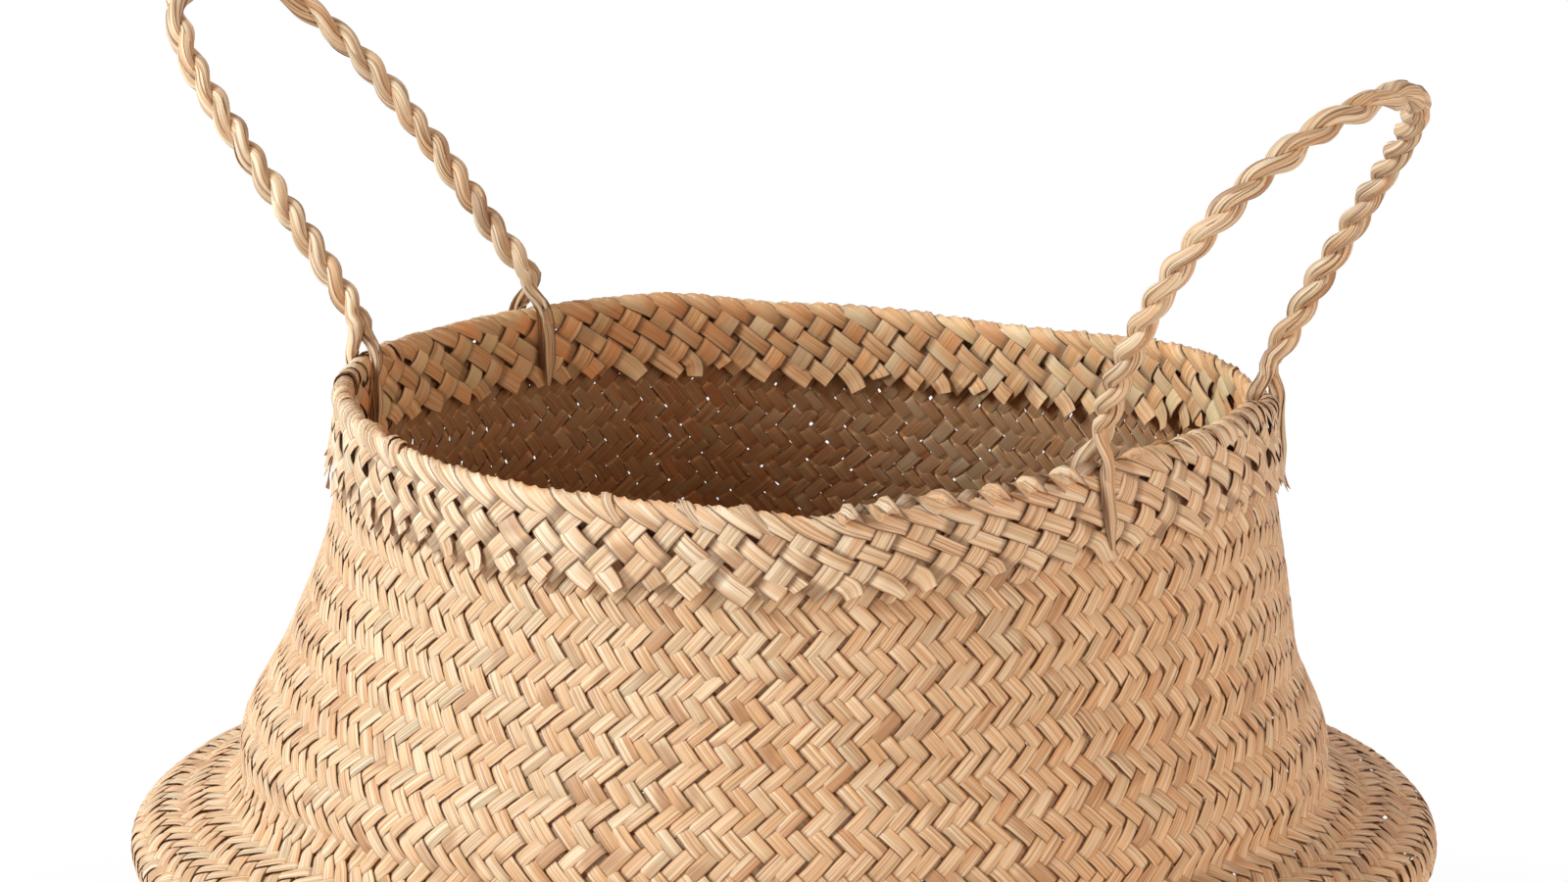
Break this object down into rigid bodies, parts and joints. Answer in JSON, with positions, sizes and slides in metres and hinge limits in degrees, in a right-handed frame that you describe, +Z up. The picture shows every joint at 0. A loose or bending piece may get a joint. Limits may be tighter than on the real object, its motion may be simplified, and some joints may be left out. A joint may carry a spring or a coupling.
{
  "type": "belly basket",
  "caption": "Soft woven straw belly basket with a wide round belly, a narrow neck that presses down, a plaited collar and two twisted rope handles.",
  "frame": {"origin": "middle of the flat woven base, on the face the basket stands on", "axes": "+Z up through the mouth, +X towards the right handle, +Y towards the back"},
  "size_m": [0.4498, 0.4202, 0.4118],
  "materials": {
    "woven_straw": "dry split leaf strands woven in a bias twill, matt with a slight sheen along the fibres",
    "plaited_straw": "wider dry leaf strips in a plain plait, matt with a slight sheen along the fibres",
    "twisted_straw": "bundles of dry leaf twisted into plies, matt with a slight sheen along the fibres"
  },
  "bodies": {
    "belly": {"woven_base": "woven_straw", "belly_wall": "woven_straw", "neck_wall": "woven_straw"},
    "collar": {"collar_wall": "woven_straw", "collar_outer_band": "plaited_straw", "collar_inner_band": "plaited_straw", "rim_fold": "plaited_straw", "right_front_inner_tail": "twisted_straw", "right_front_outer_tail": "twisted_straw", "right_back_inner_tail": "twisted_straw", "right_back_outer_tail": "twisted_straw", "left_front_inner_tail": "twisted_straw", "left_front_outer_tail": "twisted_straw", "left_back_inner_tail": "twisted_straw", "left_back_outer_tail": "twisted_straw"},
    "right_handle": {"right_handle_ply_1": "twisted_straw", "right_handle_ply_2": "twisted_straw"},
    "left_handle": {"left_handle_ply_1": "twisted_straw", "left_handle_ply_2": "twisted_straw"}
  },
  "joints": [
    {"name": "neck_press", "type": "slide", "parent": "belly", "child": "collar", "axis": [0, 0, -1], "range_m": [0, 0.06], "deforming": ["neck_wall"]},
    {"name": "right_handle_swing", "type": "hinge", "parent": "collar", "child": "right_handle", "pos_m": [0.13036, 0.00912, 0.306], "axis": [-0.0698, 0.9976, 0], "range_deg": [-95, 60]},
    {"name": "left_handle_swing", "type": "hinge", "parent": "collar", "child": "left_handle", "pos_m": [-0.13976, 0.00977, 0.306], "axis": [-0.0698, -0.9976, 0], "range_deg": [-108, 46]}
  ]
}
